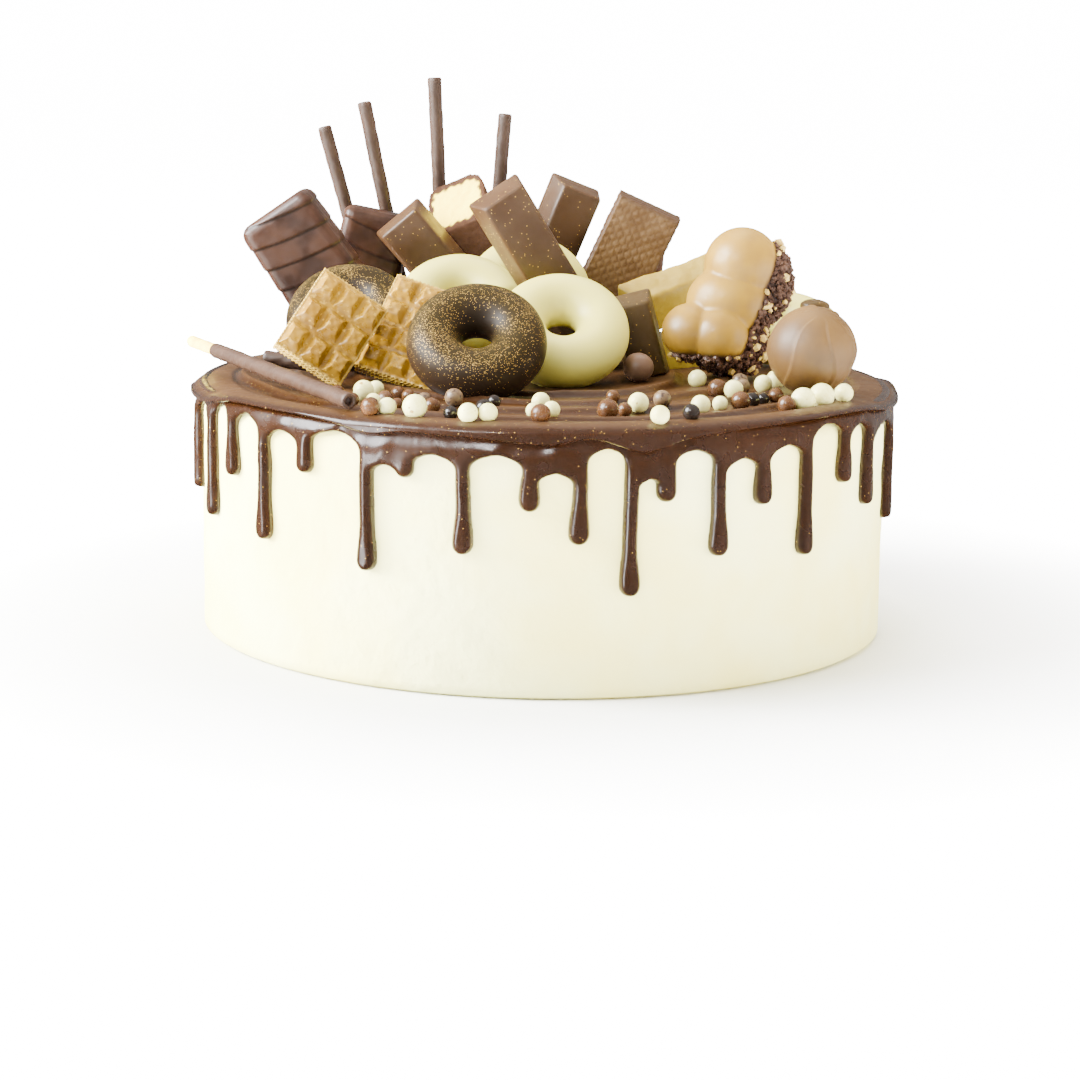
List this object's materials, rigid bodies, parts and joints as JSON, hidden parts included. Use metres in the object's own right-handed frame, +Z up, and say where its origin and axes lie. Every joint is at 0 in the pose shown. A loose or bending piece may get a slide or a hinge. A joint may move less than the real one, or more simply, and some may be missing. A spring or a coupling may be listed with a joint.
{
  "type": "drip cake",
  "caption": "Tall round buttercream cake under a dark ganache top with drips, crowned with chocolate rings, bars, wafers, sticks and sugar pearls.",
  "frame": {"origin": "centre of the cake's flat round base", "axes": "+Z up out of the cake, -Y towards the front that the toppings face, +X to the right seen from the front"},
  "size_m": [0.2247, 0.2202, 0.1668],
  "materials": {
    "buttercream": "satin",
    "ganache": "gloss",
    "dark_chocolate": "satin",
    "white_chocolate": "satin",
    "golden_wafer": "satin",
    "milk_chocolate": "satin",
    "coconut": "matt",
    "pale_wafer": "satin",
    "biscuit": "matt"
  },
  "bodies": {
    "root": {"cake_body": "buttercream", "ganache": "ganache", "donut_dark_front": "dark_chocolate", "donut_white_front": "white_chocolate", "donut_white_middle": "white_chocolate", "donut_white_back": "white_chocolate", "donut_dark_back": "dark_chocolate", "donut_white_right": "white_chocolate", "waffle_left": "golden_wafer", "waffle_right": "golden_wafer", "wafer_slab": "milk_chocolate", "finger_bar_left": "milk_chocolate", "finger_bar_middle": "milk_chocolate", "finger_bar_right": "milk_chocolate", "dark_chunk": "dark_chocolate", "white_block": "white_chocolate", "white_finger": "white_chocolate", "filled_bar_left": "milk_chocolate", "filled_bar_right": "milk_chocolate", "coconut_bar_left": "coconut", "coconut_bar_right": "coconut", "truffle_ball": "pale_wafer", "milk_button": "milk_chocolate", "lobed_wafer": "pale_wafer", "stick_upright_1": "milk_chocolate", "stick_upright_2": "milk_chocolate", "stick_upright_3": "milk_chocolate", "stick_upright_4": "milk_chocolate", "stick_lying_left": "biscuit", "stick_lying_back": "milk_chocolate"}
  },
  "joints": []
}
